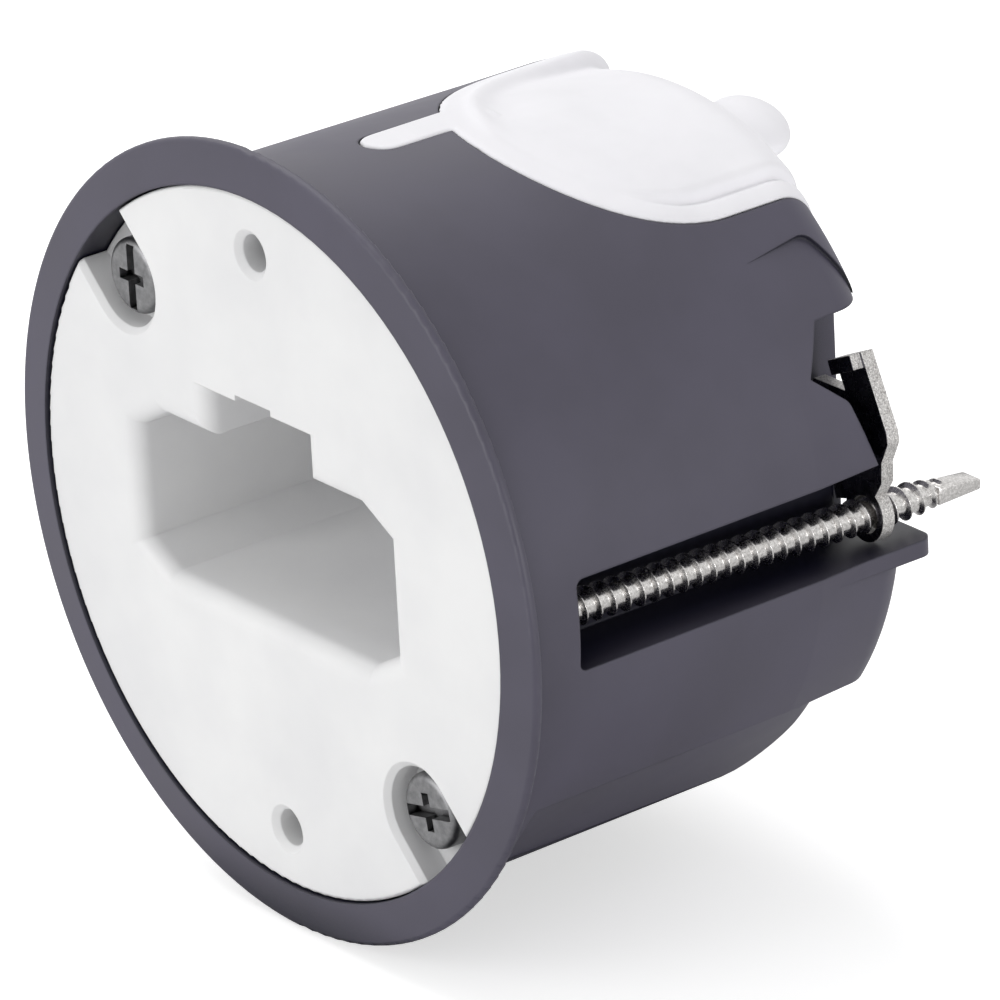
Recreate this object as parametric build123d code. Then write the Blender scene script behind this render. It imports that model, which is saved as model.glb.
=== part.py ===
from build123d import *
import math
import os

os.makedirs("parts", exist_ok=True)

# The box axis runs along +Y into the wall, +Z is up, and Y = 0 is the wall plane.
# Lengths are in millimetres and angles in degrees, measured from +X towards +Z.

# Flange and spigot
hole_radius = 34.0
hole_clearance = 0.1
spigot_length = 7.0
flange_overhang = 3.6
flange_thickness = 1.0
flange_rise = 0.5
flange_edge_round = 0.4

# Box shell
wall = 1.6
draft = 0.25
curve_start = 35.0
rear_drop = 0.55
box_depth = 46.6
base_round = 4.2

# Cover plate
cover_gap = 0.15
lip_width = 0.55
cover_proud = 1.2
plug_thickness = 1.0
plug_gap = 0.3
cover_edge_round = 0.3
stud_hole_circle = 27.85
stud_hole_radius = 1.75
stud_hole_chamfer = 0.6
stud_collar_wall = 1.2
stud_collar_end = 2.0
stud_bore_radius = 1.4
stud_column_end = 12.0

# Outlet opening in the cover
outlet_centre = -1.1
outlet_half_width = 18.5
outlet_bottom = -7.6
outlet_top = 7.9
outlet_chamfer_width = 3.9
outlet_chamfer_height = 2.2
key_half_width = 7.2
key_top = 12.9
key_crown_half_width = 2.6
key_crown = 0.55
mouth_round = 1.8
tunnel_wall = 1.4
tunnel_end = 26.0

# Cover screws
cover_screw_circle = 28.1
cover_screw_angle = 135.0
lower_slot_turn = 78.0
cover_head_radius = 3.6
cover_head_height = 2.1
cover_head_sink = 1.05
cover_head_round = 0.8
cover_shank_radius = 1.7
cover_shank_length = 16.0
notch_radius = 4.5
notch_chamfer = 0.55
cup_wall = 1.0
cup_floor = 1.5
shank_play = 0.35
running_gap = 0.06
recess_depth = 1.2
recess_slot_width = 1.1
recess_slot_length = 6.2
recess_cross_width = 1.0
recess_cross_length = 3.6
column_radius = 3.6
column_web = 2.4
column_end = 24.0
column_gap = 0.1

# Claw screws
claw_screw_x = 30.0
claw_screw_z = 0.45
claw_screw_lean = 2.3
claw_thread_radius = 1.7
claw_head_radius = 2.9
claw_head_height = 2.4
claw_head_start = 1.5
claw_head_gap = 0.25
claw_screw_end = 51.6
claw_tip_end = 55.6
claw_tip_thickness = 1.3
seal_thickness = 0.8
seal_gap = 0.1
seal_play = 0.05

# Channel and rear pocket that hold a folded claw
slot_bottom = -4.2
slot_top = 4.5
slot_floor = 26.4
slot_corner = 0.8
channel_wall = 1.3
boss_front = 1.15
pocket_floor = 22.2
pocket_edge_low = 42.3
pocket_edge_high = 40.3
pocket_high = 10.8
pocket_corner = 1.6
pocket_notch = 36.7
pocket_notch_height = 13.7
pocket_top_edge = 39.4
pocket_top = 17.8
fin_thickness = 1.6
fin_reach = 33.0
fin_end = 48.4
fin_corner = 1.5

# Claws
claw_start = 42.8
claw_sheet = 1.4
claw_ring_radius = 2.6
claw_root_side = 1.3
claw_root_low = 1.8
claw_neck_side = 2.4
claw_neck_low = 3.6
claw_neck_high = 5.6
claw_arm_side = 3.25
claw_arm_low = 7.6
claw_arm_high = 8.7
claw_arm_lean = 0.2
claw_tip_back = 0.4
claw_tip_height = 15.4
claw_heel_back = 4.0
claw_heel_height = 13.8
claw_crook_back = 2.6
claw_wing_height = 11.1
claw_wing_back = 6.9
claw_wing_end = 7.3
claw_wing_low = 10.4
claw_hip_back = 5.6
claw_hip_height = 5.6
claw_foot_back = 3.9
claw_foot_height = 0.4
claw_bend = 1.1
claw_lip_end = 0.6

# Cable entry
entry_angle = 80.5
entry_radius = 16.0
entry_centre = 36.3
entry_depth = 17.0
entry_proud = 0.15
entry_skin = 1.5
entry_gap = 0.03
tongue_near = 4.5
tongue_far = 9.0
tongue_tip = 12.8
frame_low = 34.0
frame_high = 118.0
frame_round = 4.4
ledge_angle = 44.0
ledge_start = 34.2
ledge_start_across = -0.15
ledge_peak = 42.4
ledge_peak_across = 1.1
ledge_end_across = -5.5
ledge_corner = 1.5
nub_angle = 68.8
nub_height = 31.6
nub_middle = 45.6
nub_radius = 4.0
nub_thickness = 3.8
nub_round = 1.6

# Flat strip low on the side, and the lowered base it runs out on
strip_angle = -46.0
strip_half_width = 7.1
strip_depth = 0.8
strip_start = 5.5
low_base_depth = 42.6
low_base_round = 7.5
low_base_top = -18.7
low_base_left = -22.0

# Terminal block behind the outlet
carrier_front = 23.2
carrier_end = 36.6
carrier_gap = 0.08
carrier_side = 0.9
cell_pitch = 11.8
cell_width = 8.6
cell_height = 11.0
cell_front_wall = 1.4
window_width = 3.4
window_height = 7.6
contact_sheet = 0.8
contact_width = 6.4
contact_opening = 1.6
contact_length = 8.0
spring_sheet = 0.5
spring_width = 5.6
spring_rise = 2.4
cap_thickness = 1.8
wire_hole_radius = 1.5

# Sizes worked out from the ones above
spigot_radius = hole_radius - hole_clearance
flange_radius = spigot_radius + flange_overhang
straight_radius = spigot_radius - draft
rear_radius = straight_radius - rear_drop
inner_radius = spigot_radius - wall
cover_radius = spigot_radius - lip_width - cover_gap
seat_radius = cover_radius + cover_gap
plug_radius = inner_radius - plug_gap
cover_front = -cover_proud
cover_head_front = cover_front + cover_head_sink
cup_seat = cover_head_front + cover_head_height
cup_back = cup_seat + cup_floor
claw_seal_front = claw_head_start + claw_head_height
claw_seat = claw_seal_front + seal_play + seal_thickness
claw_bore_radius = claw_thread_radius + running_gap
claw_end = claw_start + claw_sheet
fin_bottom = slot_bottom - fin_thickness
far = 60.0


def sketch_y(face, start, end):
    """A face drawn in X and Z, drawn out along Y from start to end."""
    return extrude(Plane.XZ.offset(-end) * face, amount=end - start)


def round_bar(radius, start, end, x=0.0, z=0.0):
    return sketch_y(Pos(x, z) * Circle(radius), start, end)


def block(x_low, x_high, y_low, y_high, z_low, z_high):
    centre = Pos((x_low + x_high) / 2, (y_low + y_high) / 2, (z_low + z_high) / 2)
    return centre * Box(x_high - x_low, y_high - y_low, z_high - z_low)


def polygon(points):
    return make_face(Polyline(*points, close=True))


def turned(edges):
    """A profile of radius and Y, turned about the box axis."""
    return revolve(make_face(edges), Axis.Y)


def half_turn(shape):
    return Rot(0, 180, 0) * shape


def polar(radius, angle):
    return radius * math.cos(math.radians(angle)), radius * math.sin(math.radians(angle))


def corner_middle(radius, y, size):
    """Middle of a quarter round that ends at this radius and this Y."""
    back = size * (1 - math.sqrt(0.5))
    return radius - back, y - back


def sector(low, high, start, end):
    """A wedge between two angles about the box axis."""
    middle = (low + high) / 2
    points = [(0, 0), polar(far, low), polar(far, middle), polar(far, high)]
    return sketch_y(polygon(points), start, end)


def shell_profile(inset):
    """The turned outside of the box behind the wall, moved in by an inset."""
    front = spigot_radius - inset
    straight = straight_radius - inset
    rear = rear_radius - inset
    base = box_depth - inset
    size = base_round - inset
    sides = Polyline((0, 0), (front, 0), (front, spigot_length), (straight, curve_start), (rear, base - size))
    corner = ThreePointArc((rear, base - size), corner_middle(rear, base, size), (rear - size, base))
    return [sides, corner, Polyline((rear - size, base), (0, base), (0, 0))]


def full_profile(radius, base, size):
    """A plain turned end that keeps its full radius to the base."""
    corner = ThreePointArc((radius, base - size), corner_middle(radius, base, size), (radius - size, base))
    sides = Polyline((0, curve_start), (radius, curve_start), (radius, base - size))
    return [sides, corner, Polyline((radius - size, base), (0, base), (0, curve_start))]


def flange():
    edge = flange_edge_round
    outer = flange_radius
    front = -flange_thickness
    lip_front = front - flange_rise
    edges = [
        Polyline((seat_radius, 0), (outer - edge, 0)),
        ThreePointArc((outer - edge, 0), (outer - edge * (1 - math.sqrt(0.5)), -edge * (1 - math.sqrt(0.5))),
                      (outer, -edge)),
        Polyline((outer, -edge), (outer, front + edge)),
        ThreePointArc((outer, front + edge),
                      (outer - edge * (1 - math.sqrt(0.5)), front + edge * (1 - math.sqrt(0.5))),
                      (outer - edge, front)),
        Polyline((outer - edge, front), (seat_radius, lip_front), (seat_radius, 0)),
    ]
    return turned(edges)


def column(radius, angle, start, end):
    """A screw column with a web that ties it to the wall."""
    x, z = polar(radius, angle)
    web = sketch_y(Rot(0, 0, angle) * Pos(radius + column_radius, 0) * Rectangle(2 * column_radius, column_web),
                   start, end)
    return round_bar(column_radius, start, end, x, z) + web


def claw_frame():
    """Place and lean of the right claw screw's axis."""
    return Pos(claw_screw_x, 0, claw_screw_z) * Rot(-claw_screw_lean, 0, 0)


def channel_block():
    low = slot_bottom - channel_wall
    high = slot_top + channel_wall
    return block(slot_floor - channel_wall, far, boss_front, pocket_edge_low + channel_wall, low, high)


def pocket_shape(grow):
    """The rear pocket seen from the side, as points of Y and Z."""
    points = [
        (pocket_edge_low - grow, slot_bottom - grow),
        (pocket_edge_low - grow, slot_top),
        (pocket_edge_high - grow, pocket_high - grow),
        (pocket_notch - grow, pocket_notch_height),
        (pocket_top_edge - grow, pocket_top + grow),
        (far, pocket_top + grow),
        (far, slot_bottom - grow),
    ]
    outline = polygon(points)
    corner = outline.vertices().sort_by_distance((pocket_edge_high - grow, pocket_high - grow, 0))[0]
    outline = fillet(corner, pocket_corner)
    return extrude(Plane.YZ.offset(pocket_floor - grow) * outline, amount=far - pocket_floor)


def side_plane(angle, start):
    """The plane that faces a radius: its own X goes round the box and its own Y along it."""
    direction = polar(1.0, angle)
    side = polar(1.0, angle + 90)
    return Plane(origin=(start * direction[0], 0, start * direction[1]), x_dir=(side[0], 0, side[1]),
                 z_dir=(-direction[0], 0, -direction[1]))


def ledge_cut():
    """What the fuller rear frame leaves free below its slanting ledge."""
    points = [
        (-far, ledge_start), (ledge_start_across, ledge_start), (ledge_peak_across, ledge_peak),
        (ledge_end_across, box_depth), (-far, box_depth),
    ]
    outline = polygon(points)
    peak = outline.vertices().sort_by_distance((ledge_peak_across, ledge_peak, 0))[0]
    outline = fillet(peak, ledge_corner)
    return extrude(side_plane(ledge_angle, 0) * outline, amount=-far)


def low_end(inset):
    """What is cut off the rear over the lowered base."""
    cut = block(low_base_left - inset, far, curve_start, far, -far, low_base_top + inset)
    return cut - turned(full_profile(straight_radius - inset, low_base_depth - inset, low_base_round - inset))


def entry_prism(grow, start):
    """The outline of the cable entry, drawn out along its own radius."""
    radius = entry_radius + grow
    disc = Pos(0, entry_centre) * Circle(radius)
    strip = Pos(0, (entry_centre + far) / 2) * Rectangle(2 * radius, far - entry_centre)
    width = tongue_far - tongue_near + 2 * grow
    half = width / 2
    reach = entry_centre - tongue_tip
    tongue = Pos((tongue_near + tongue_far) / 2, tongue_tip - grow + half + reach / 2) * Rectangle(width, reach)
    tip = Pos((tongue_near + tongue_far) / 2, tongue_tip - grow + half) * Circle(half)
    outline = disc + strip + tongue + tip
    return extrude(side_plane(entry_angle, start) * outline, amount=-far)


def box_body():
    outside = turned(shell_profile(0)) - low_end(0)
    inside = turned(shell_profile(wall)) - low_end(wall)
    frame = turned(full_profile(straight_radius, box_depth, frame_round))
    frame = (frame & sector(frame_low, frame_high, curve_start, far)) - ledge_cut()
    solid = outside + frame
    shell = solid - inside
    fixed = channel_block() + pocket_shape(channel_wall)
    fixed = fixed + half_turn(fixed)
    for angle in (90, -90):
        fixed = fixed + column(stud_hole_circle, angle, stud_collar_end + plug_gap, stud_column_end)
    for angle in (cover_screw_angle, cover_screw_angle + 180):
        fixed = fixed + column(cover_screw_circle, angle, cup_back + column_gap, column_end)
    body = shell + (fixed & solid)
    body = body + flange()

    slot = block(slot_floor, far, spigot_length, far, slot_bottom, slot_top)
    slot = fillet(slot.edges().filter_by(Axis.X).group_by(Axis.Y)[0], slot_corner)
    frame_place = claw_frame()
    head_bore = frame_place * round_bar(claw_head_radius + claw_head_gap, 0, claw_seat)
    passage = frame_place * round_bar(claw_bore_radius, claw_seat - wall, spigot_length + wall)
    fin = block(slot_floor, fin_reach, curve_start, fin_end, fin_bottom, slot_bottom)
    fin = fillet(fin.edges().filter_by(Axis.Z).group_by(Axis.Y)[-1], fin_corner)
    pocket = pocket_shape(0)
    strip = block(straight_radius - strip_depth, far, strip_start, far, -strip_half_width, strip_half_width)
    strip = Rot(0, -strip_angle, 0) * strip
    cuts = slot + head_bore + passage + pocket
    body = body - strip - half_turn(strip)
    body = body + fin + half_turn(fin)
    body = body - cuts - half_turn(cuts)

    cup_room = cup_shape(notch_radius + cup_wall + plug_gap, seat_radius, cup_back + column_gap)
    body = body - cup_room - half_turn(cup_room)
    body = body - round_bar(seat_radius, -far, 0)
    body = body - round_bar(inner_radius, -far, boss_front)
    for angle in (90, -90):
        x, z = polar(stud_hole_circle, angle)
        body = body - round_bar(stud_bore_radius, 0, stud_column_end - wall, x, z)
    for angle in (cover_screw_angle, cover_screw_angle + 180):
        x, z = polar(cover_screw_circle, angle)
        bore = round_bar(cover_shank_radius + running_gap, 0, column_end - wall, x, z)
        body = body - bore
    return body - entry_prism(entry_gap, entry_depth)


def cable_membrane():
    """A soft skin in the cable entry, with a round nub to pull it by."""
    outside = turned(full_profile(straight_radius + entry_proud, box_depth + entry_proud,
                                  frame_round + entry_proud))
    front = turned([Polyline((0, 0), (spigot_radius + entry_proud, 0),
                             (straight_radius + entry_proud, curve_start), (0, curve_start), (0, 0))])
    skin_radius = straight_radius + entry_proud - entry_skin
    inside = turned(full_profile(skin_radius, box_depth + entry_proud - entry_skin,
                                 frame_round + entry_proud - entry_skin))
    front_inside = turned([Polyline((0, 0), (spigot_radius + entry_proud - entry_skin, 0),
                                    (skin_radius, curve_start), (0, curve_start), (0, 0))])
    nub = Cylinder(nub_radius, nub_thickness)
    nub = fillet(nub.edges().filter_by(GeomType.CIRCLE), nub_round)
    nub = Rot(0, -nub_angle, 0) * Pos(nub_height, nub_middle, 0) * Rot(0, 90, 0) * nub
    skin = (outside + front + nub) - (inside + front_inside)
    return skin & entry_prism(0, entry_depth)


def outlet_outline(grow):
    """The keyed outline of the outlet opening, in X and Z."""
    half = outlet_half_width
    low = outlet_bottom
    high = outlet_top
    width = outlet_chamfer_width
    height = outlet_chamfer_height
    points = [
        (-half, low + height), (-half + width, low), (half - width, low), (half, low + height),
        (half, high - height), (half - width, high), (key_half_width, high), (key_half_width, key_top),
        (key_crown_half_width, key_top), (key_crown_half_width, key_top + key_crown),
        (-key_crown_half_width, key_top + key_crown), (-key_crown_half_width, key_top),
        (-key_half_width, key_top), (-key_half_width, high), (-half + width, high), (-half, high - height),
    ]
    face = Pos(outlet_centre, 0) * polygon(points)
    if grow == 0:
        return face
    return offset(face, amount=grow, kind=Kind.INTERSECTION)


def notch_face(radius):
    """A round-ended notch that is open to the rim."""
    run = far - cover_screw_circle
    end = Pos(cover_screw_circle, 0) * Circle(radius)
    mouth = Pos(cover_screw_circle + run / 2, 0) * Rectangle(run, 2 * radius)
    return Rot(0, 0, cover_screw_angle) * (end + mouth)


def cup_shape(radius, reach, end):
    """The cup round a cover screw's head, cut off at the rim."""
    return sketch_y(notch_face(radius), 0, end) & round_bar(reach, 0, end)


def front_cover():
    plate = round_bar(cover_radius, cover_front, 0)
    plate = fillet(plate.edges().group_by(Axis.Y)[0], cover_edge_round)
    plug = round_bar(plug_radius, 0, plug_thickness)
    tunnel = sketch_y(outlet_outline(tunnel_wall), 0, tunnel_end)
    notch = notch_face(notch_radius)
    cup = cup_shape(notch_radius + cup_wall, cover_radius, cup_back)
    cup = cup + half_turn(cup)
    flare = Plane.XZ.offset(-cover_front - notch_chamfer) * notch
    hollow = sketch_y(notch, -far, cup_seat) + extrude(flare, amount=notch_chamfer, taper=-45)
    cover = plate + plug + tunnel + cup
    for angle in (90, -90):
        x, z = polar(stud_hole_circle, angle)
        cover = cover + round_bar(stud_hole_radius + stud_collar_wall, 0, stud_collar_end, x, z)
    cover = cover - hollow - half_turn(hollow)
    cover = cover - sketch_y(outlet_outline(0), -far, far)
    face_lines = cover.edges().filter_by(GeomType.LINE).group_by(Axis.Y)[0]
    mouth = [edge for edge in face_lines if -key_top < edge.center().Z < key_top - key_crown]
    cover = fillet(mouth, mouth_round)
    for angle in (cover_screw_angle, cover_screw_angle + 180):
        x, z = polar(cover_screw_circle, angle)
        cover = cover - round_bar(cover_shank_radius + shank_play, 0, far, x, z)
    for angle in (90, -90):
        x, z = polar(stud_hole_circle, angle)
        cover = cover - round_bar(stud_hole_radius, -far, far, x, z)
        mouth = stud_hole_radius + stud_hole_chamfer
        sink = Cone(stud_hole_radius, mouth, stud_hole_chamfer)
        cover = cover - Pos(x, cover_front + stud_hole_chamfer / 2, z) * Rot(90, 0, 0) * sink
    return cover


def cover_screw(slot_turn):
    """The upper cover screw, with its slotted cross recess turned by an angle."""
    x, z = polar(cover_screw_circle, cover_screw_angle)
    head = round_bar(cover_head_radius, cover_head_front, cup_seat)
    head = fillet(head.edges().group_by(Axis.Y)[0], cover_head_round)
    shank = round_bar(cover_shank_radius, cup_seat, cup_seat + cover_shank_length)
    shank = chamfer(shank.edges().group_by(Axis.Y)[-1], cover_shank_radius / 2)
    slot = sketch_y(Rectangle(recess_slot_width, recess_slot_length), cover_head_front,
                    cover_head_front + recess_depth)
    cross = sketch_y(Rectangle(recess_cross_length, recess_cross_width), cover_head_front,
                     cover_head_front + recess_depth)
    recess = Rot(0, slot_turn, 0) * (slot + cross)
    return Pos(x, 0, z) * (head + shank - recess)


def claw_screw():
    """The right claw screw: head, thread envelope and flattened tip."""
    head = round_bar(claw_head_radius, claw_head_start, claw_seal_front)
    slot = block(-recess_slot_width / 2, recess_slot_width / 2, 0, claw_head_start + recess_depth,
                 -claw_head_radius, claw_head_radius)
    shank = round_bar(claw_thread_radius, claw_seal_front, claw_screw_end)
    tip = block(-claw_thread_radius, claw_thread_radius, claw_screw_end, claw_tip_end,
                -claw_tip_thickness / 2, claw_tip_thickness / 2)
    return claw_frame() * (head - slot + shank + tip)


def screw_seal():
    front = claw_seal_front + seal_play
    outer = round_bar(claw_head_radius + claw_head_gap - seal_gap, front, claw_seat)
    return claw_frame() * (outer - round_bar(claw_bore_radius, 0, claw_seat + wall))


def clamp_claw():
    """The right claw, pressed from sheet: ring, neck, arm, inner wing and a bent lip."""
    outline = [
        (claw_root_side, claw_root_low), (claw_neck_side, claw_neck_low), (claw_neck_side, claw_neck_high),
        (claw_arm_side, claw_arm_low), (claw_arm_side - claw_arm_lean, claw_arm_high),
        (-claw_tip_back, claw_tip_height), (-claw_heel_back, claw_heel_height),
        (-claw_crook_back, claw_wing_height), (-claw_wing_back, claw_wing_height),
        (-claw_wing_end, claw_wing_low), (-claw_hip_back, claw_hip_height), (-claw_foot_back, claw_foot_height),
    ]
    plate = sketch_y(polygon(outline) + Circle(claw_ring_radius), claw_start, claw_end)
    back = claw_heel_back - claw_tip_back
    drop = claw_tip_height - claw_heel_height
    run = math.hypot(back, drop)
    arm_end = Plane(origin=(-claw_tip_back, claw_start, claw_tip_height), x_dir=(-back, 0, -drop), z_dir=(0, -1, 0))
    lip_face = Pos(run / 2, claw_sheet / 2) * Rectangle(run - claw_lip_end, claw_sheet)
    lip = extrude(arm_end * lip_face, amount=claw_bend, dir=(0, -1, 0))
    plate = plate + lip
    hole = round_bar(claw_bore_radius, claw_start - claw_sheet, claw_end + claw_sheet)
    return claw_frame() * (plate - hole)


def cell_centres():
    return [outlet_centre + step * cell_pitch for step in (-1, 0, 1)]


def contact_carrier():
    plug = sketch_y(outlet_outline(-carrier_gap), carrier_front, tunnel_end)
    half = outlet_half_width + tunnel_wall
    low = outlet_bottom - tunnel_wall
    high = outlet_top + tunnel_wall
    housing = block(outlet_centre - half, outlet_centre + half, tunnel_end, carrier_end, low, high)
    carrier = plug + housing
    middle = (outlet_bottom + outlet_top) / 2
    cell_start = carrier_front + cell_front_wall
    for x in cell_centres():
        carrier = carrier - block(x - cell_width / 2, x + cell_width / 2, cell_start, far,
                                  middle - cell_height / 2, middle + cell_height / 2)
        carrier = carrier - block(x - window_width / 2, x + window_width / 2, 0, far,
                                  middle - window_height / 2, middle + window_height / 2)
    return carrier


def contact(x):
    """A forked contact that grips a flat pin and stands on the cell's rear cap."""
    middle = (outlet_bottom + outlet_top) / 2
    outer = contact_opening / 2 + contact_sheet
    back = carrier_end
    front = back - contact_length - contact_sheet
    fork = block(x - outer, x + outer, front, back, middle - contact_width / 2, middle + contact_width / 2)
    gap = block(x - contact_opening / 2, x + contact_opening / 2, 0, back - contact_sheet,
                middle - far, middle + far)
    return fork - gap


def clamp_spring(x):
    """A bent strip beside the contact that holds the wire against it."""
    middle = (outlet_bottom + outlet_top) / 2
    start = x + contact_opening / 2 + contact_sheet
    side = x + cell_width / 2
    back = carrier_end
    strip = [
        (start, back - spring_sheet), (start, back), (side, back), (side, back - contact_length),
        (start, back - contact_length + spring_rise), (start, back - contact_length + spring_rise + spring_sheet),
        (side - spring_sheet, back - contact_length + 2 * spring_sheet), (side - spring_sheet, back - spring_sheet),
    ]
    face = polygon(strip)
    return Pos(0, 0, middle - spring_width / 2) * extrude(face, amount=spring_width)


def terminal_cap():
    half = outlet_half_width + tunnel_wall - carrier_side
    low = outlet_bottom - tunnel_wall + carrier_side
    high = outlet_top + tunnel_wall - carrier_side
    cap = block(outlet_centre - half, outlet_centre + half, carrier_end, carrier_end + cap_thickness, low, high)
    middle = (outlet_bottom + outlet_top) / 2
    for x in cell_centres():
        hole_x = x + contact_opening / 2 + contact_sheet + wire_hole_radius / 2
        cap = cap - round_bar(wire_hole_radius, 0, far, hole_x, middle + window_height / 2)
        cap = cap - round_bar(wire_hole_radius, 0, far, hole_x, middle - window_height / 2)
    return cap


nodes = {
    "box_body": box_body(),
    "cable_membrane": cable_membrane(),
    "front_cover": front_cover(),
    "contact_carrier": contact_carrier(),
    "terminal_cap": terminal_cap(),
    "cover_screw_upper": cover_screw(0),
    "cover_screw_lower": half_turn(cover_screw(lower_slot_turn)),
    "claw_screw_right": claw_screw(),
    "claw_screw_left": half_turn(claw_screw()),
    "screw_seal_right": screw_seal(),
    "screw_seal_left": half_turn(screw_seal()),
    "clamp_claw_right": clamp_claw(),
    "clamp_claw_left": half_turn(clamp_claw()),
}
for pole, x in zip(("line", "earth", "neutral"), cell_centres()):
    nodes["contact_" + pole] = contact(x)
    nodes["clamp_spring_" + pole] = clamp_spring(x)

for name, shape in nodes.items():
    export_step(shape, "parts/" + name + ".step")
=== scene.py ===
import bpy
import bmesh
import math
from mathutils import Matrix, Vector


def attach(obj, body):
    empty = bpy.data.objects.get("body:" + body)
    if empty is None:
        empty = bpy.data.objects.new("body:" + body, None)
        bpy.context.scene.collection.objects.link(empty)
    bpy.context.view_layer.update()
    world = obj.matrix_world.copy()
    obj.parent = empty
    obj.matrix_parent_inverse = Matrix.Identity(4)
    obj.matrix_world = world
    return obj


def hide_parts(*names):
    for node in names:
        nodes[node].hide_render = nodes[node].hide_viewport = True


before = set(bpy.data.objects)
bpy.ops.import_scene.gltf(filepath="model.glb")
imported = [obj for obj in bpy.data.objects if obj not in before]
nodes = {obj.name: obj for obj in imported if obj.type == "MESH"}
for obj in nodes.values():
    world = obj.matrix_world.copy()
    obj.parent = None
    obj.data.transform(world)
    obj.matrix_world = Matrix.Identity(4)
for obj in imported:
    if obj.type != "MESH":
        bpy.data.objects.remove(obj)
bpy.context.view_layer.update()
mm = 0.001
print("frame loaded:", len(nodes), "nodes")


def linearColour(hexText):
    # sRGB hex to the linear values that shaders take
    parts = [int(hexText[i:i + 2], 16) / 255 for i in (1, 3, 5)]
    linear = [c / 12.92 if c <= 0.04045 else ((c + 0.055) / 1.055) ** 2.4 for c in parts]
    return (*linear, 1.0)


def addNode(tree, kind, settings=None, inputs=None):
    # one node with its settings, its values and its links
    node = tree.nodes.new(kind)
    for key, value in (settings or {}).items():
        setattr(node, key, value)
    for key, value in (inputs or {}).items():
        if isinstance(value, bpy.types.NodeSocket):
            tree.links.new(value, node.inputs[key])
        else:
            node.inputs[key].default_value = value
    return node


def startMaterial(name):
    material = bpy.data.materials.new(name)
    material.use_nodes = True
    tree = material.node_tree
    shader = tree.nodes["Principled BSDF"]
    place = addNode(tree, "ShaderNodeTexCoord").outputs["Object"]
    return material, tree, shader, place


def setShader(shader, values):
    for key, value in values.items():
        shader.inputs[key].default_value = value


def colourRamp(tree, source, colours, spread):
    # two colours, blended over the part of the pattern's range that spread gives
    ramp = addNode(tree, "ShaderNodeValToRGB", inputs={"Fac": source})
    for element, position, colour in zip(ramp.color_ramp.elements, spread, colours):
        element.position = position
        element.color = linearColour(colour)
    return ramp.outputs["Color"]


def greyRamp(tree, source, low, high, start=0.3, end=0.7):
    ramp = addNode(tree, "ShaderNodeMapRange", inputs={
        "Value": source, "From Min": start, "From Max": end, "To Min": low, "To Max": high})
    return ramp.outputs["Result"]


# Camera: solved from the flange, cover and body outlines of the photograph
cameraSettings = {
    "place": (0.59837, -0.43143, 0.31702),
    "right": (0.62232, 0.78120, -0.04960),
    "up": (-0.27845, 0.28015, 0.91870),
    "back": (0.73157, -0.55790, 0.39186),
    "lens": 324.6,
    "sensor": 36,
    "clip": (0.05, 10),
}


def makeCamera(settings):
    data = bpy.data.cameras.new("photoCamera")
    data.lens = settings["lens"]
    data.sensor_width = settings["sensor"]
    data.clip_start, data.clip_end = settings["clip"]
    camera = bpy.data.objects.new("photoCamera", data)
    bpy.context.scene.collection.objects.link(camera)
    turn = Matrix((settings["right"], settings["up"], settings["back"])).transposed()
    camera.matrix_world = Matrix.Translation(settings["place"]) @ turn.to_4x4()
    bpy.context.scene.camera = camera


makeCamera(cameraSettings)
print("camera placed")

# Materials, named for what the pieces are made of. Grain is drawn coarser than the real 0.02 to 0.1 mm,
# which is too fine to show; edge is how far the shading rounds a corner.
# the shade samples and range set the ambient-occlusion mask that paints shade into hollows
surface = {
    "reliefDepth": 0.05 * mm, "edgeSamples": 6, "hollowSamples": 8, "hollowRange": (0.45, 0.85),
    "cloudSpread": (0.35, 0.65), "grainSpread": (0.3, 0.7),
}


def paintHollowShade(tree, colour, shadeTone, reach):
    # painted shade: colour in deep recesses falls to a dark shade tone over the reach, by an
    # ambient-occlusion mask
    samples = {"samples": surface["hollowSamples"]}
    around = addNode(tree, "ShaderNodeAmbientOcclusion", samples, {"Distance": reach})
    depth = greyRamp(tree, around.outputs["AO"], 0.0, 1.0, *surface["hollowRange"])
    mixed = addNode(tree, "ShaderNodeMix", {"data_type": "RGBA"}, {"Factor": depth})
    mixed.inputs[6].default_value = linearColour(shadeTone)
    tree.links.new(colour, mixed.inputs[7])
    return mixed.outputs[2]


def finishSurface(tree, shader, values, colour, roughness, grain):
    # what every moulded and pressed surface gets: painted shade in its hollows where its values give a shade
    # tone, eased corners and a fine relief
    if "hollow" in values:
        colour = paintHollowShade(tree, colour, values["hollow"], values["hollowReach"])
    eased = addNode(tree, "ShaderNodeBevel", {"samples": surface["edgeSamples"]}, {"Radius": values["edge"]})
    relief = addNode(tree, "ShaderNodeBump", inputs={
        "Height": grain, "Strength": values["bump"], "Distance": surface["reliefDepth"],
        "Normal": eased.outputs["Normal"]})
    tree.links.new(colour, shader.inputs["Base Color"])
    tree.links.new(roughness, shader.inputs["Roughness"])
    tree.links.new(relief.outputs["Normal"], shader.inputs["Normal"])


def plasticMaterial(name, values):
    # a broad cloud varies the colour and gloss, and a fine grain gives the relief
    material, tree, shader, place = startMaterial(name)
    cloud = addNode(tree, "ShaderNodeTexNoise", inputs={
        "Vector": place, "Scale": 1 / values["cloud"], "Detail": 4.0, "Roughness": 0.55}).outputs["Fac"]
    grain = addNode(tree, "ShaderNodeTexNoise", inputs={
        "Vector": place, "Scale": 1 / values["grain"], "Detail": 3.0, "Roughness": 0.6}).outputs["Fac"]
    colour = colourRamp(tree, cloud, values["colour"], surface["cloudSpread"])
    roughness = greyRamp(tree, cloud, *values["roughness"])
    finishSurface(tree, shader, values, colour, roughness, grain)
    setShader(shader, {"IOR": 1.5, "Sheen Weight": values["sheen"]})
    return material


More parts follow.
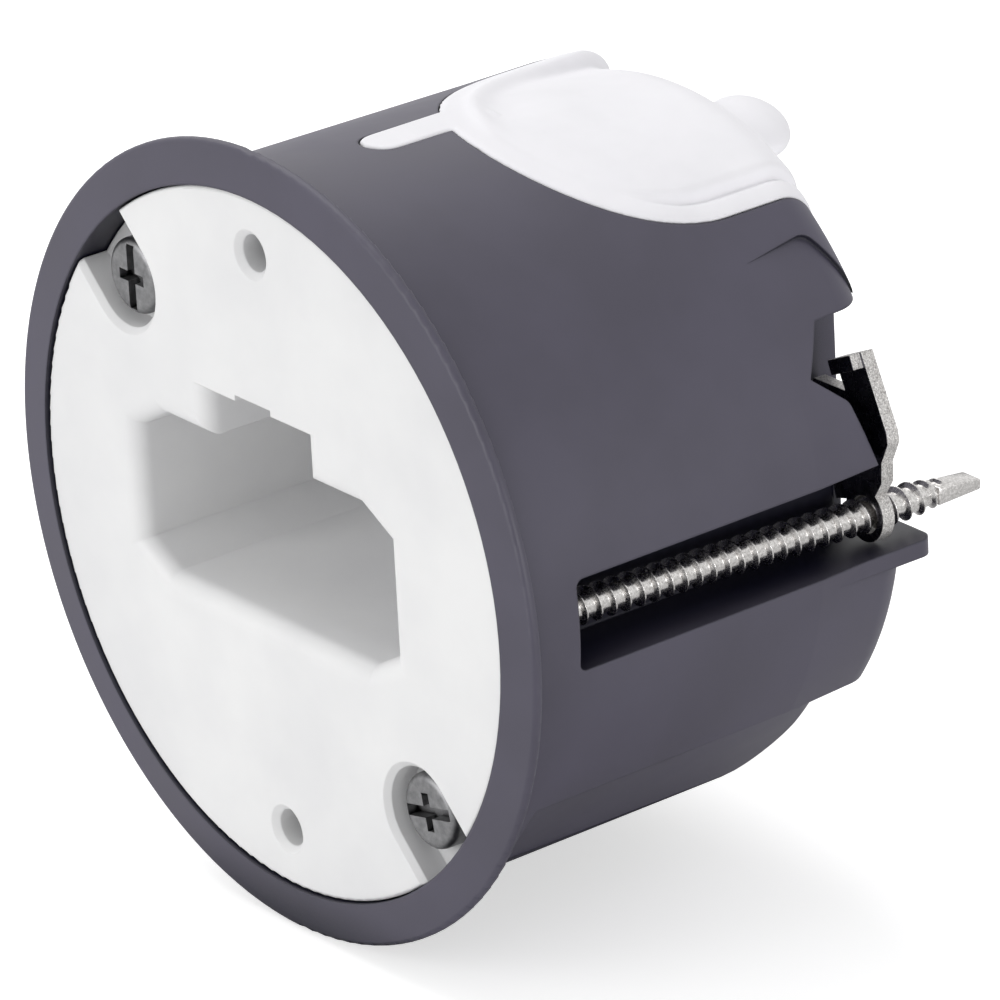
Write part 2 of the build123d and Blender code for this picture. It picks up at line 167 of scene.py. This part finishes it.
def metalMaterial(name, values):
    # one grain gives the spotty colour, the gloss and the relief
    material, tree, shader, place = startMaterial(name)
    grain = addNode(tree, "ShaderNodeTexNoise", inputs={
        "Vector": place, "Scale": 1 / values["grain"], "Detail": 5.0, "Roughness": 0.65}).outputs["Fac"]
    colour = colourRamp(tree, grain, values["colour"], surface["grainSpread"])
    roughness = greyRamp(tree, grain, *values["roughness"])
    finishSurface(tree, shader, values, colour, roughness, grain)
    setShader(shader, {"Metallic": values["metallic"]})
    return material


# Polypropylene from a spark-eroded mould: dark blue-grey, with a satin sheen and soft corners, and painted
# shade that darkens its slots and recesses towards a blue-black
boxPolypropylene = plasticMaterial("mouldedPolypropylene", {
    "colour": ("#464351", "#4D4A59"), "cloud": 14 * mm, "grain": 0.35 * mm, "roughness": (0.40, 0.52),
    "bump": 0.06, "edge": 0.4 * mm, "sheen": 0.0, "hollow": "#04031A", "hollowReach": 8 * mm})
# Polycarbonate from a polished mould: white and smooth, with a broad soft gloss
coverPolycarbonate = plasticMaterial("mouldedPolycarbonate", {
    "colour": ("#E8E8E9", "#F0F0F0"), "cloud": 18 * mm, "grain": 0.6 * mm, "roughness": (0.36, 0.48),
    "bump": 0.04, "edge": 0.22 * mm, "sheen": 0.0})
# Filled resin of the terminal block, moulded: a duller white than the cover
blockResin = plasticMaterial("terminalResin", {
    "colour": ("#D6D6D8", "#E0E0E1"), "cloud": 12 * mm, "grain": 0.5 * mm, "roughness": (0.45, 0.6),
    "bump": 0.06, "edge": 0.18 * mm, "sheen": 0.0})
# Thermoplastic elastomer moulded onto the box: matt, a slightly cool white, with a faint bloom
membraneElastomer = plasticMaterial("membraneElastomer", {
    "colour": ("#F6F5F9", "#FCFBFF"), "cloud": 9 * mm, "grain": 0.9 * mm, "roughness": (0.55, 0.7),
    "bump": 0.05, "edge": 0.3 * mm, "sheen": 0.1})
# Black elastomer of the seal washers, punched from sheet: dull and even
sealElastomer = plasticMaterial("sealElastomer", {
    "colour": ("#2A2A2C", "#333336"), "cloud": 3 * mm, "grain": 0.4 * mm, "roughness": (0.6, 0.75),
    "bump": 0.06, "edge": 0.18 * mm, "sheen": 0.0})
# Zinc-plated steel with a rolled thread: bright, with small sharp glints
screwZinc = metalMaterial("zincPlatedScrew", {
    "colour": ("#A8A5A3", "#E9E7E5"), "grain": 0.25 * mm, "roughness": (0.16, 0.32), "bump": 0.15,
    "edge": 0.1 * mm, "metallic": 1.0})
# Passivated steel of the cover screws: mid grey and dull, with painted shade that turns the cross recess
# black
screwDark = metalMaterial("darkPassivatedSteel", {
    "colour": ("#767678", "#989899"), "grain": 0.8 * mm, "roughness": (0.38, 0.5), "bump": 0.15,
    "edge": 0.1 * mm, "metallic": 1.0, "hollow": "#0A0A0C", "hollowReach": 0.6 * mm})
# Cold-rolled steel of the claws, plated: smooth and dark on its flat faces
clawPlated = metalMaterial("pressedClawSteel", {
    "colour": ("#6A6972", "#86858D"), "grain": 1.2 * mm, "roughness": (0.22, 0.32), "bump": 0.05,
    "edge": 0.1 * mm, "metallic": 1.0})
# The same steel where the press sheared it: torn, so pale and sparkling
clawSheared = metalMaterial("shearedClawEdge", {
    "colour": ("#6E6A68", "#F2F0EE"), "grain": 0.16 * mm, "roughness": (0.3, 0.5), "bump": 0.6,
    "edge": 0.1 * mm, "metallic": 0.6})
# Rolled brass strip of the contacts: warm yellow with a soft shine
contactBrass = metalMaterial("rolledBrass", {
    "colour": ("#A9853F", "#CDAA5E"), "grain": 0.5 * mm, "roughness": (0.25, 0.4), "bump": 0.15,
    "edge": 0.1 * mm, "metallic": 1.0})
# Rolled spring steel of the wire clamps: light grey with a soft shine
springSteel = metalMaterial("rolledSpringSteel", {
    "colour": ("#8D8D90", "#B4B4B6"), "grain": 0.5 * mm, "roughness": (0.25, 0.35), "bump": 0.15,
    "edge": 0.1 * mm, "metallic": 1.0})
print("materials made")


def dress(obj, material):
    obj.data.materials.clear()
    obj.data.materials.append(material)


nodeFinish = {
    "box_body": boxPolypropylene, "front_cover": coverPolycarbonate, "contact_carrier": blockResin,
    "terminal_cap": blockResin, "cover_screw_upper": screwDark, "cover_screw_lower": screwDark,
    "screw_seal_right": sealElastomer, "screw_seal_left": sealElastomer,
    "contact_line": contactBrass, "contact_earth": contactBrass, "contact_neutral": contactBrass,
    "clamp_spring_line": springSteel, "clamp_spring_earth": springSteel, "clamp_spring_neutral": springSteel,
}
for nodeName, finish in nodeFinish.items():
    dress(nodes[nodeName], finish)

meshing = {"weld": 0.002 * mm, "coarseWeld": 0.01 * mm, "sharp": math.radians(32)}


def meshObject(name, bm, material, smooth=True):
    bmesh.ops.remove_doubles(bm, verts=bm.verts, dist=meshing["weld"])
    bmesh.ops.recalc_face_normals(bm, faces=bm.faces)
    for face in bm.faces:
        face.smooth = smooth
    for edge in bm.edges:
        if len(edge.link_faces) == 2 and edge.calc_face_angle(0) > meshing["sharp"]:
            edge.smooth = False
    data = bpy.data.meshes.new(name)
    bm.to_mesh(data)
    bm.free()
    obj = bpy.data.objects.new(name, data)
    bpy.context.scene.collection.objects.link(obj)
    dress(obj, material)
    return obj


# Claw screws: a rolled thread from head to flattened tip, made along +Y about the origin
clawScrew = {
    "x": 30.0 * mm, "z": 0.45 * mm, "lean": 2.3,
    "pitch": 1.62 * mm, "root": 1.22 * mm, "crest": 1.7 * mm, "turnSteps": 28,
    "threadStart": 5.2 * mm, "threadEnd": 51.8 * mm,
    "flankStart": 0.56, "crestStart": 0.74, "crestEnd": 0.82,  # shares of the pitch
    "runOut": 2.2, "runOutSlope": 7, "runOutLeast": 0.72,  # turns, turns and share of the radius
    "headStart": 1.5 * mm, "headEnd": 3.9 * mm, "headRadius": 2.9 * mm, "headSteps": 40,
    "faceShare": 0.8, "shoulderShare": 0.95, "shoulderDrop": 0.25 * mm, "rimDrop": 0.7 * mm,
    "tipEnd": 55.6 * mm, "tipHalf": 0.65 * mm, "tipWidth": 2.5 * mm, "tipOverlap": 1.2 * mm,
    "tipTaper": (1.35, 0.8), "tipRound": 0.22 * mm,
}


def makeThread(bm, s):
    root, crest, pitch, start = s["root"], s["crest"], s["pitch"], s["threadStart"]
    turns = int((s["threadEnd"] - start) / pitch)
    section = [(root, 0), (root, s["flankStart"] * pitch), (crest, s["crestStart"] * pitch),
               (crest, s["crestEnd"] * pitch), (root, pitch)]
    verts = [bm.verts.new((r, start + y, 0)) for r, y in section]
    edges = [bm.edges.new(pair) for pair in zip(verts, verts[1:])]
    rise = (0, pitch / s["turnSteps"], 0)
    bmesh.ops.spin(bm, geom=verts + edges, cent=(0, 0, 0), axis=(0, 1, 0), dvec=rise,
                   angle=2 * math.pi * turns, steps=s["turnSteps"] * turns)
    bmesh.ops.remove_doubles(bm, verts=bm.verts, dist=meshing["coarseWeld"])
    # each open end is drawn in to the axis inside the head and the tip
    rim = [edge for edge in bm.edges if edge.is_boundary]
    drawn = bmesh.ops.extrude_edge_only(bm, edges=rim)
    for vert in [item for item in drawn["geom"] if isinstance(item, bmesh.types.BMVert)]:
        low = vert.co.y < (start + s["threadEnd"]) / 2
        vert.co = (0, start + 0.5 * pitch if low else start + (turns + 0.5) * pitch, 0)
    # the thread runs out towards the tip
    for vert in bm.verts:
        reach = vert.co.y - (s["threadEnd"] - s["runOut"] * pitch)
        if reach > 0:
            shrink = max(s["runOutLeast"], 1 - reach / (s["runOutSlope"] * pitch))
            vert.co.x *= shrink
            vert.co.z *= shrink


def makeScrewHead(bm, s):
    # a round head with an eased rim, closed over the first turn of the thread
    radius, front, shankEnd = s["headRadius"], s["headStart"], s["threadStart"] + s["pitch"]
    profile = [(0, front), (radius * s["faceShare"], front),
               (radius * s["shoulderShare"], front + s["shoulderDrop"]), (radius, front + s["rimDrop"]),
               (radius, s["headEnd"]), (s["root"], s["headEnd"]), (s["root"], shankEnd), (0, shankEnd)]
    verts = [bm.verts.new((r, y, 0)) for r, y in profile]
    edges = [bm.edges.new(pair) for pair in zip(verts, verts[1:])]
    bmesh.ops.spin(bm, geom=verts + edges, cent=(0, 0, 0), axis=(0, 1, 0), dvec=(0, 0, 0),
                   angle=2 * math.pi, steps=s["headSteps"], use_merge=True)


def makeScrewTip(bm, s):
    # the wire is pinched flat and cut off
    tip = bmesh.ops.create_cube(bm, size=1.0)["verts"]
    nearTaper, endTaper = s["tipTaper"]
    for vert in tip:
        atEnd = vert.co.y > 0
        vert.co.x *= s["tipWidth"]
        vert.co.z *= 2 * s["tipHalf"] * (endTaper if atEnd else nearTaper)
        vert.co.y = s["tipEnd"] if atEnd else s["threadEnd"] - s["tipOverlap"]
    sides = {edge for vert in tip for edge in vert.link_edges}
    bmesh.ops.bevel(bm, geom=list(sides), offset=s["tipRound"], offset_type="OFFSET", affect="EDGES",
                    segments=2, profile=0.5, material=-1)


def placeClawScrew(s, side):
    lean = Matrix.Rotation(math.radians(-s["lean"]), 4, "X")
    place = Matrix.Translation((s["x"], 0, s["z"])) @ lean
    return place if side == "right" else Matrix.Rotation(math.pi, 4, "Y") @ place


def makeClawScrew(s, side):
    bm = bmesh.new()
    makeThread(bm, s)
    makeScrewHead(bm, s)
    makeScrewTip(bm, s)
    bm.transform(placeClawScrew(s, side))
    screw = meshObject("threaded_claw_screw_" + side, bm, screwZinc)
    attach(screw, "claw_screw_" + side)
    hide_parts("claw_screw_" + side)


for side in ("right", "left"):
    makeClawScrew(clawScrew, side)
print("claw screws threaded")

# Claws: the node's own shape, with its sheared edges rounded and bright, and its flat faces dark
claw = {
    "weld": 0.004 * mm, "flatten": math.radians(4), "flatFace": 0.6,
    "round": 0.22 * mm, "segments": 3, "corner": math.radians(50),
}


def makeClaw(s, side):
    bm = bmesh.new()
    bm.from_mesh(nodes["clamp_claw_" + side].data)
    bmesh.ops.remove_doubles(bm, verts=bm.verts, dist=s["weld"])
    bmesh.ops.dissolve_limit(bm, angle_limit=s["flatten"], verts=bm.verts, edges=bm.edges)
    pressed = meshObject("pressed_claw_" + side, bm, clawPlated)
    pressed.data.materials.append(clawSheared)
    for polygon in pressed.data.polygons:
        polygon.material_index = 0 if abs(polygon.normal.y) > s["flatFace"] else 1
    rounding = pressed.modifiers.new("pressedEdges", "BEVEL")
    rounding.width = s["round"]
    rounding.segments = s["segments"]
    rounding.limit_method = "ANGLE"
    rounding.angle_limit = s["corner"]
    rounding.harden_normals = True
    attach(pressed, "clamp_claw_" + side)
    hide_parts("clamp_claw_" + side)


for side in ("right", "left"):
    makeClaw(claw, side)
print("claws pressed")

# Cable membrane: a soft skin over the top and rear of the box, with a rolled lip and a pull nub. Across is
# u, along the box is y, and out from the box axis is n, in a frame turned to the entry's angle.
membrane = {
    "angle": 80.5, "radius": 16.0 * mm, "centre": 36.3 * mm, "depth": 17.2 * mm, "skin": 1.5 * mm,
    "shell": 33.66 * mm, "front": 33.9 * mm, "taper": (7 * mm, 35 * mm),  # radius of the box, front to rear
    "base": 46.65 * mm, "round": 4.4 * mm, "proud": 0.22 * mm, "rim": (-0.05 * mm, 0.5 * mm),
    "band": 2.7 * mm, "step": 0.55 * mm, "farStep": 1.2 * mm,
    "middleDrop": 0.3 * mm, "tilt": 0.085, "flatten": 2.5, "frontDrop": 0.1 * mm,
    "farSide": (-1 * mm, 6 * mm), "farFlat": (30 * mm, 44 * mm), "farShare": 0.3,
    "nearFlat": (25 * mm, 37 * mm), "lipInset": 3.4 * mm, "lipWidth": 1.0 * mm, "lipHeight": 0.55 * mm,
    "creaseInset": 2.3 * mm, "creaseWidth": 0.4 * mm, "creaseDepth": 0.8 * mm,
    "creaseRun": (26 * mm, 34 * mm),
    "columns": 90, "rows": 130, "tipRows": 0.4, "sideRows": 0.6, "cornerRows": 0.8,
    "tongueNear": 4.5 * mm, "tongueFar": 9.0 * mm, "tongueTip": 12.9 * mm, "tongueOverlap": 6 * mm,
    "tongueSunk": 0.05 * mm, "tongueProud": 0.8, "tongueSkin": 0.8, "tongueGrid": (10, 24), "tongueEase": 6,
    "nub": (10.2 * mm, 47.3 * mm, 29.2 * mm), "nubSize": (4.1 * mm, 3.9 * mm, 1.9 * mm), "nubAngle": 68,
    "nubGrid": (32, 20), "voxel": 0.22 * mm, "softening": 0.5, "softenings": 5,
}


def smoothStep(low, high, value):
    t = min(1.0, max(0.0, (value - low) / (high - low)))
    return t * t * (3 - 2 * t)


def membraneHeight(m, u, y):
    # height over the shell of the point at u across and y along, from its distance inside the outline
    inside = m["radius"] - math.hypot(u, max(0.0, m["centre"] - y))
    band = m["proud"] * smoothStep(*m["rim"], inside)
    far = smoothStep(*m["farSide"], u)
    # the inner skin is flatter than the box, so it stands over the near band and under the far lip
    skin = -m["middleDrop"] - m["tilt"] * u - m["flatten"] * u * u
    farReach = m["farShare"] + (1 - m["farShare"]) * smoothStep(*m["farFlat"], y)
    reach = far * farReach + (1 - far) * smoothStep(*m["nearFlat"], y)
    halfStep = 0.5 * m["step"]
    edge = smoothStep(m["band"] - halfStep, m["band"] + halfStep + m["farStep"] * far, inside)
    height = band + (skin * reach - m["frontDrop"] * (1 - reach)) * edge
    lip = math.exp(-((inside - m["lipInset"]) / m["lipWidth"]) ** 2)
    crease = math.exp(-((inside - m["creaseInset"]) / m["creaseWidth"]) ** 2)
    creased = (1 - far) * smoothStep(*m["creaseRun"], y)
    return height + m["lipHeight"] * lip * far - m["creaseDepth"] * crease * creased


def membranePoint(m, u, part, share):
    # part 0 runs along the side, part 1 round the rear corner, part 2 down the base; gives (u, y, n)
    straightEnd = m["base"] - m["round"]
    y = share if part == 0 else straightEnd
    height = membraneHeight(m, u, y)
    radius = m["front"] + (m["shell"] - m["front"]) * smoothStep(*m["taper"], y)
    if part == 0:
        return u, y, math.sqrt((radius + height) ** 2 - u * u)
    turn = math.pi / 2 * (share if part == 1 else 1)
    bend = m["round"] + height
    y = straightEnd + bend * math.sin(turn)
    radius = radius - m["round"] + bend * math.cos(turn)
    n = math.sqrt(max(0.0, radius ** 2 - u * u))
    if part == 2:
        level = smoothStep(0, 1, share)
        y = y + (m["base"] + m["proud"] - y) * level
        n = n + (m["depth"] - n) * share
    return u, y, n


def localToFrame(m):
    turn = math.radians(m["angle"])
    outward = Vector((math.cos(turn), 0, math.sin(turn)))
    across = Vector((math.cos(turn + math.pi / 2), 0, math.sin(turn + math.pi / 2)))
    return Matrix((across, Vector((0, 1, 0)), outward)).transposed().to_4x4()


def thicken(bm, faces, thickness):
    # the wall goes inward from faces that point outward
    if sum(face.normal.z for face in faces) < 0:
        bmesh.ops.reverse_faces(bm, faces=faces)
    bmesh.ops.solidify(bm, geom=faces, thickness=thickness)


def makeSkin(bm, m):
    grid = bmesh.ops.create_grid(bm, x_segments=m["columns"], y_segments=m["rows"], size=1.0)["verts"]
    straightEnd = m["base"] - m["round"]
    tip, side, corner = m["tipRows"], m["sideRows"], m["cornerRows"]
    for vert in grid:
        a, b = vert.co.x, (vert.co.y + 1) / 2
        u = a * m["radius"]
        if b < tip:
            turn = b / tip * math.pi / 2
            vert.co = membranePoint(m, u * math.sin(turn), 0, m["centre"] - m["radius"] * math.cos(turn))
        elif b < side:
            share = (b - tip) / (side - tip)
            vert.co = membranePoint(m, u, 0, m["centre"] + share * (straightEnd - m["centre"]))
        elif b < corner:
            vert.co = membranePoint(m, u, 1, (b - side) / (corner - side))
        else:
            vert.co = membranePoint(m, u, 2, (b - corner) / (1 - corner))
    bmesh.ops.remove_doubles(bm, verts=bm.verts, dist=meshing["coarseWeld"])
    bmesh.ops.recalc_face_normals(bm, faces=bm.faces)
    thicken(bm, list(bm.faces), m["skin"])


def makeTongue(bm, m):
    # the tongue is the runner of the moulding, flush in its groove
    columns, rows = m["tongueGrid"]
    tongue = bmesh.ops.create_grid(bm, x_segments=columns, y_segments=rows, size=1.0)["verts"]
    half = (m["tongueFar"] - m["tongueNear"]) / 2
    middle = (m["tongueFar"] + m["tongueNear"]) / 2
    length = m["centre"] - m["radius"] + m["tongueOverlap"] - m["tongueTip"]
    for vert in tongue:
        a, b = vert.co.x, (vert.co.y + 1) / 2
        y = m["tongueTip"] + b * length
        narrow = math.sqrt(max(0.0, 1 - max(0.0, 1 - (y - m["tongueTip"]) / half) ** 2))
        u = middle + a * half * narrow
        edge = min(1 - abs(a), b * m["tongueEase"]) * half
        rise = m["proud"] * m["tongueProud"] * smoothStep(0, m["rim"][1], edge)
        top = m["front"] - m["tongueSunk"] + rise
        vert.co = (u, y, math.sqrt(top ** 2 - u * u))
    faces = {face for vert in tongue for face in vert.link_faces}
    thicken(bm, list(faces), m["skin"] * m["tongueSkin"])


def makeMembrane(m):
    bm = bmesh.new()
    makeSkin(bm, m)
    makeTongue(bm, m)
    bm.transform(localToFrame(m))
    nubTurn = Matrix.Rotation(math.radians(90 - m["nubAngle"]), 4, "Y")
    nubShape = Matrix.Translation(m["nub"]) @ nubTurn @ Matrix.Diagonal((*m["nubSize"], 1))
    around, along = m["nubGrid"]
    bmesh.ops.create_uvsphere(bm, u_segments=around, v_segments=along, radius=1.0, matrix=nubShape)
    skin = meshObject("entry_membrane", bm, membraneElastomer)
    # skin, tongue and nub become one moulding with soft joins
    remesh = skin.modifiers.new("oneMoulding", "REMESH")
    remesh.mode = "VOXEL"
    remesh.voxel_size = m["voxel"]
    remesh.use_smooth_shade = True
    soften = skin.modifiers.new("soften", "SMOOTH")
    soften.factor = m["softening"]
    soften.iterations = m["softenings"]
    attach(skin, "box")
    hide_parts("cable_membrane")


makeMembrane(membrane)
print("membrane moulded")

# Floor and backdrop: white to the camera, pale grey to the light
studio = {
    "floor": -37.7 * mm, "floorSize": 6.0, "paper": ("#F0F0F0", "#F2F2F2"), "paperGrain": 25 * mm,
    "paperRoughness": 0.9, "paperGlow": 0.55, "world": "#FFFFFF", "worldStrength": 0.50, "aim": (0, 0.02, 0),
    "lamps": [
        # name, place, size, energy
        ("frontSoftbox", (-0.4, -1.7, 0.6), 1.2, 13.0),
        ("rightSoftbox", (1.6, 0.15, 0.2), 0.45, 6.5),
        ("topSoftbox", (-1.0, 0.2, 1.5), 1.2, 13.0),
    ],
}


def paperMaterial(s):
    # matt white background paper, with a faint unevenness
    material, tree, shader, place = startMaterial("paperSweep")
    grain = addNode(tree, "ShaderNodeTexNoise", inputs={"Vector": place, "Scale": 1 / s["paperGrain"]})
    colour = colourRamp(tree, grain.outputs["Fac"], s["paper"], surface["grainSpread"])
    tree.links.new(colour, shader.inputs["Base Color"])
    setShader(shader, {"Roughness": s["paperRoughness"]})
    # the camera sees the lit paper as white, and the object's shadow stays on it
    sight = addNode(tree, "ShaderNodeLightPath")
    glow = addNode(tree, "ShaderNodeEmission", inputs={"Strength": s["paperGlow"]})
    clear = addNode(tree, "ShaderNodeEmission", inputs={"Strength": 0.0})
    chosen = addNode(tree, "ShaderNodeMixShader", inputs={
        0: sight.outputs["Is Camera Ray"], 1: clear.outputs["Emission"], 2: glow.outputs["Emission"]})
    total = addNode(tree, "ShaderNodeAddShader", inputs={
        0: shader.outputs["BSDF"], 1: chosen.outputs["Shader"]})
    tree.links.new(total.outputs["Shader"], tree.nodes["Material Output"].inputs["Surface"])
    return material


def makeFloor(s):
    bm = bmesh.new()
    bmesh.ops.create_grid(bm, x_segments=1, y_segments=1, size=s["floorSize"],
                          matrix=Matrix.Translation((0, 0, s["floor"])))
    floor = meshObject("studio_floor", bm, paperMaterial(s), smooth=False)


def makeWorld(s):
    world = bpy.data.worlds.new("studioWorld")
    bpy.context.scene.world = world
    world.use_nodes = True
    tree = world.node_tree
    soft = tree.nodes["Background"]
    soft.inputs["Color"].default_value = linearColour(s["world"])
    soft.inputs["Strength"].default_value = s["worldStrength"]
    white = addNode(tree, "ShaderNodeBackground", inputs={"Color": (1, 1, 1, 1), "Strength": 1.0})
    # the white paper round the object is seen by the camera and mirrored by the plastic and metal
    sight = addNode(tree, "ShaderNodeLightPath")
    seen = addNode(tree, "ShaderNodeMath", {"operation": "MAXIMUM"}, {
        0: sight.outputs["Is Camera Ray"], 1: sight.outputs["Is Glossy Ray"]})
    chosen = addNode(tree, "ShaderNodeMixShader", inputs={
        0: seen.outputs["Value"], 1: soft.outputs["Background"], 2: white.outputs["Background"]})
    tree.links.new(chosen.outputs["Shader"], tree.nodes["World Output"].inputs["Surface"])


def makeLamp(name, place, size, energy, aim):
    data = bpy.data.lights.new(name, "AREA")
    data.size = size
    data.energy = energy
    lamp = bpy.data.objects.new(name, data)
    lamp.location = place
    lamp.rotation_euler = (Vector(aim) - Vector(place)).to_track_quat("-Z", "Y").to_euler()
    bpy.context.scene.collection.objects.link(lamp)


makeFloor(studio)
makeWorld(studio)
for lampValues in studio["lamps"]:
    makeLamp(*lampValues, studio["aim"])
bpy.context.scene.view_settings.view_transform = "Standard"
print("studio lit")
